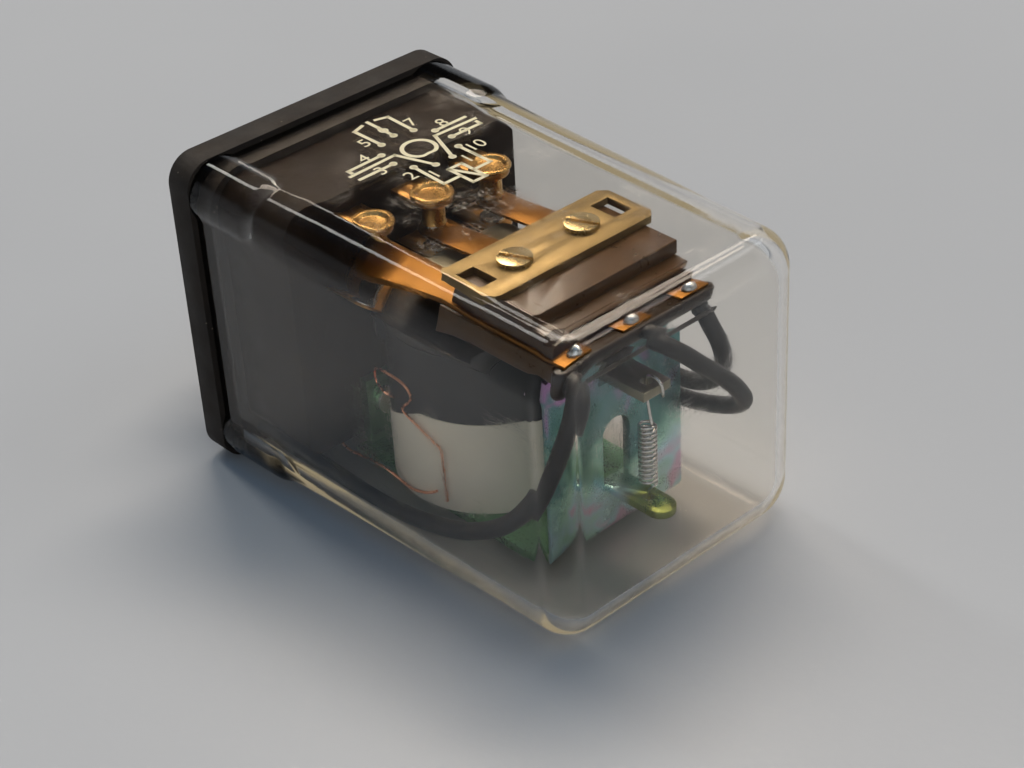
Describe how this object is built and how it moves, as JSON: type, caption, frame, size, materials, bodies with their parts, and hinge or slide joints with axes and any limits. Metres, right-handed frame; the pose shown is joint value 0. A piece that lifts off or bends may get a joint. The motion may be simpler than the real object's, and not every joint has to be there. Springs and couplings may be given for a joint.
{
  "type": "plug_in_relay",
  "caption": "Plug-in electromagnetic relay with a clear cover, round pin plug, coil, sprung armature and changeover contacts",
  "frame": {"origin": "on the plug's axis, in the plane of the base plate's outer face that seats on the socket", "axes": "+X from the seat face along the plug's axis to the cover's closed end, the pins point to -X; +Z from the coil up to the contacts; +Y completes the frame, with the picture's near side at -Y"},
  "size_m": [0.0675, 0.0356, 0.0356],
  "materials": {
    "phenolic": "worn",
    "pin_metal": "satin",
    "black_moulding": "satin",
    "clear_plastic": "glossy",
    "yellow_zinc": "satin",
    "iron": "satin",
    "copper": "glossy",
    "paper": "matte",
    "brass": "satin",
    "silver": "satin",
    "lead_sleeve": "matte",
    "spring_steel": "glossy",
    "iridescent_zinc": "satin",
    "brown_laminate": "glossy",
    "bronze": "satin"
  },
  "bodies": {
    "root": {"base_plate": "phenolic", "base_pins": "pin_metal", "contact_block": "black_moulding", "cover": "clear_plastic", "yoke": "yellow_zinc", "yoke_screws": "pin_metal", "core": "iron", "bobbin": "black_moulding", "winding": "copper", "coil_tape": "black_moulding", "coil_label": "paper", "coil_tags": "brass", "coil_wire_upper": "copper", "coil_wire_lower": "copper", "lower_strip_near": "brass", "lower_strip_middle": "brass", "lower_strip_far": "brass", "lower_contacts": "silver", "upper_strip_near": "brass", "upper_strip_middle": "brass", "upper_strip_far": "brass", "upper_contacts": "copper", "lead_near": "lead_sleeve", "lead_middle": "lead_sleeve", "lead_far": "lead_sleeve", "return_spring": "spring_steel"},
    "armature": {"armature": "iridescent_zinc", "residual_disc": "copper", "lower_insulator": "brown_laminate", "blade_near": "bronze", "blade_middle": "bronze", "blade_far": "bronze", "moving_contacts": "silver", "blade_spacer": "brown_laminate", "upper_insulator": "brown_laminate", "clamp_plate": "yellow_zinc", "clamp_screws": "brass", "tail_bar": "brown_laminate", "solder_joints": "silver"}
  },
  "joints": [
    {"name": "armature_hinge", "type": "hinge", "parent": "root", "child": "armature", "pos_m": [0.0433, 0, 0.00739], "axis": [0, -1, 0], "range_deg": [0, 2.85], "stiffness_Nm_per_rad": 0.02, "springref_deg": -5.73, "deforming": ["return_spring", "lead_near", "lead_middle", "lead_far"]}
  ]
}
